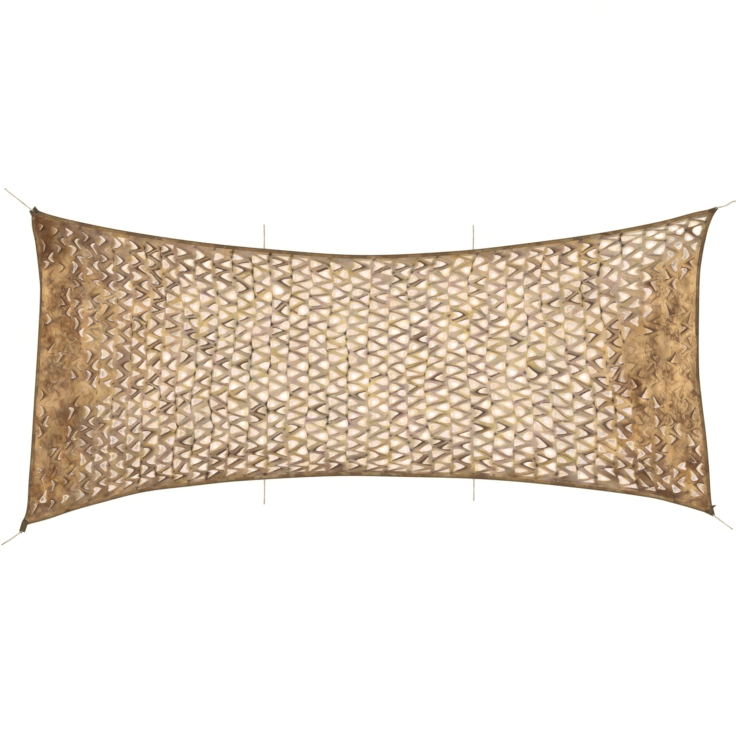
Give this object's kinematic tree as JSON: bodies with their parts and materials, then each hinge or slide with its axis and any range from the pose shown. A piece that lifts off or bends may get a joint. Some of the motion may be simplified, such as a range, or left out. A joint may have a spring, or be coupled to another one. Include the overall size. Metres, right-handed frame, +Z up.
{
  "type": "camouflage netting",
  "caption": "Leaf-cut camouflage net in a desert print, laid flat and stretched, with bowed bound edges, dark corner tabs and short cord ties.",
  "frame": {"origin": "centre of the net's box without its ties, on the surface that it lies on", "axes": "+X along the net's long way, +Y across it, +Z up, out of its printed face"},
  "size_m": [3.6267, 1.7477, 0.0194],
  "materials": {
    "camouflage_cloth": "matt printed polyester cloth in tan, sand, ochre and browns",
    "binding_tape": "matt printed tape, darker than the cloth",
    "corner_tab": "matt dark olive folded tape",
    "tie_cord": "pale grey twisted cord"
  },
  "bodies": {
    "root": {"net_panel": "camouflage_cloth", "binding_top": "binding_tape", "binding_bottom": "binding_tape", "binding_left": "binding_tape", "binding_right": "binding_tape", "tab_top_left": "corner_tab", "tab_top_right": "corner_tab", "tab_bottom_left": "corner_tab", "tab_bottom_right": "corner_tab", "tie_corner_top_left": "tie_cord", "tie_corner_top_right": "tie_cord", "tie_corner_bottom_left": "tie_cord", "tie_corner_bottom_right": "tie_cord", "tie_top_left": "tie_cord", "tie_top_right": "tie_cord", "tie_bottom_left": "tie_cord", "tie_bottom_right": "tie_cord"}
  },
  "joints": []
}
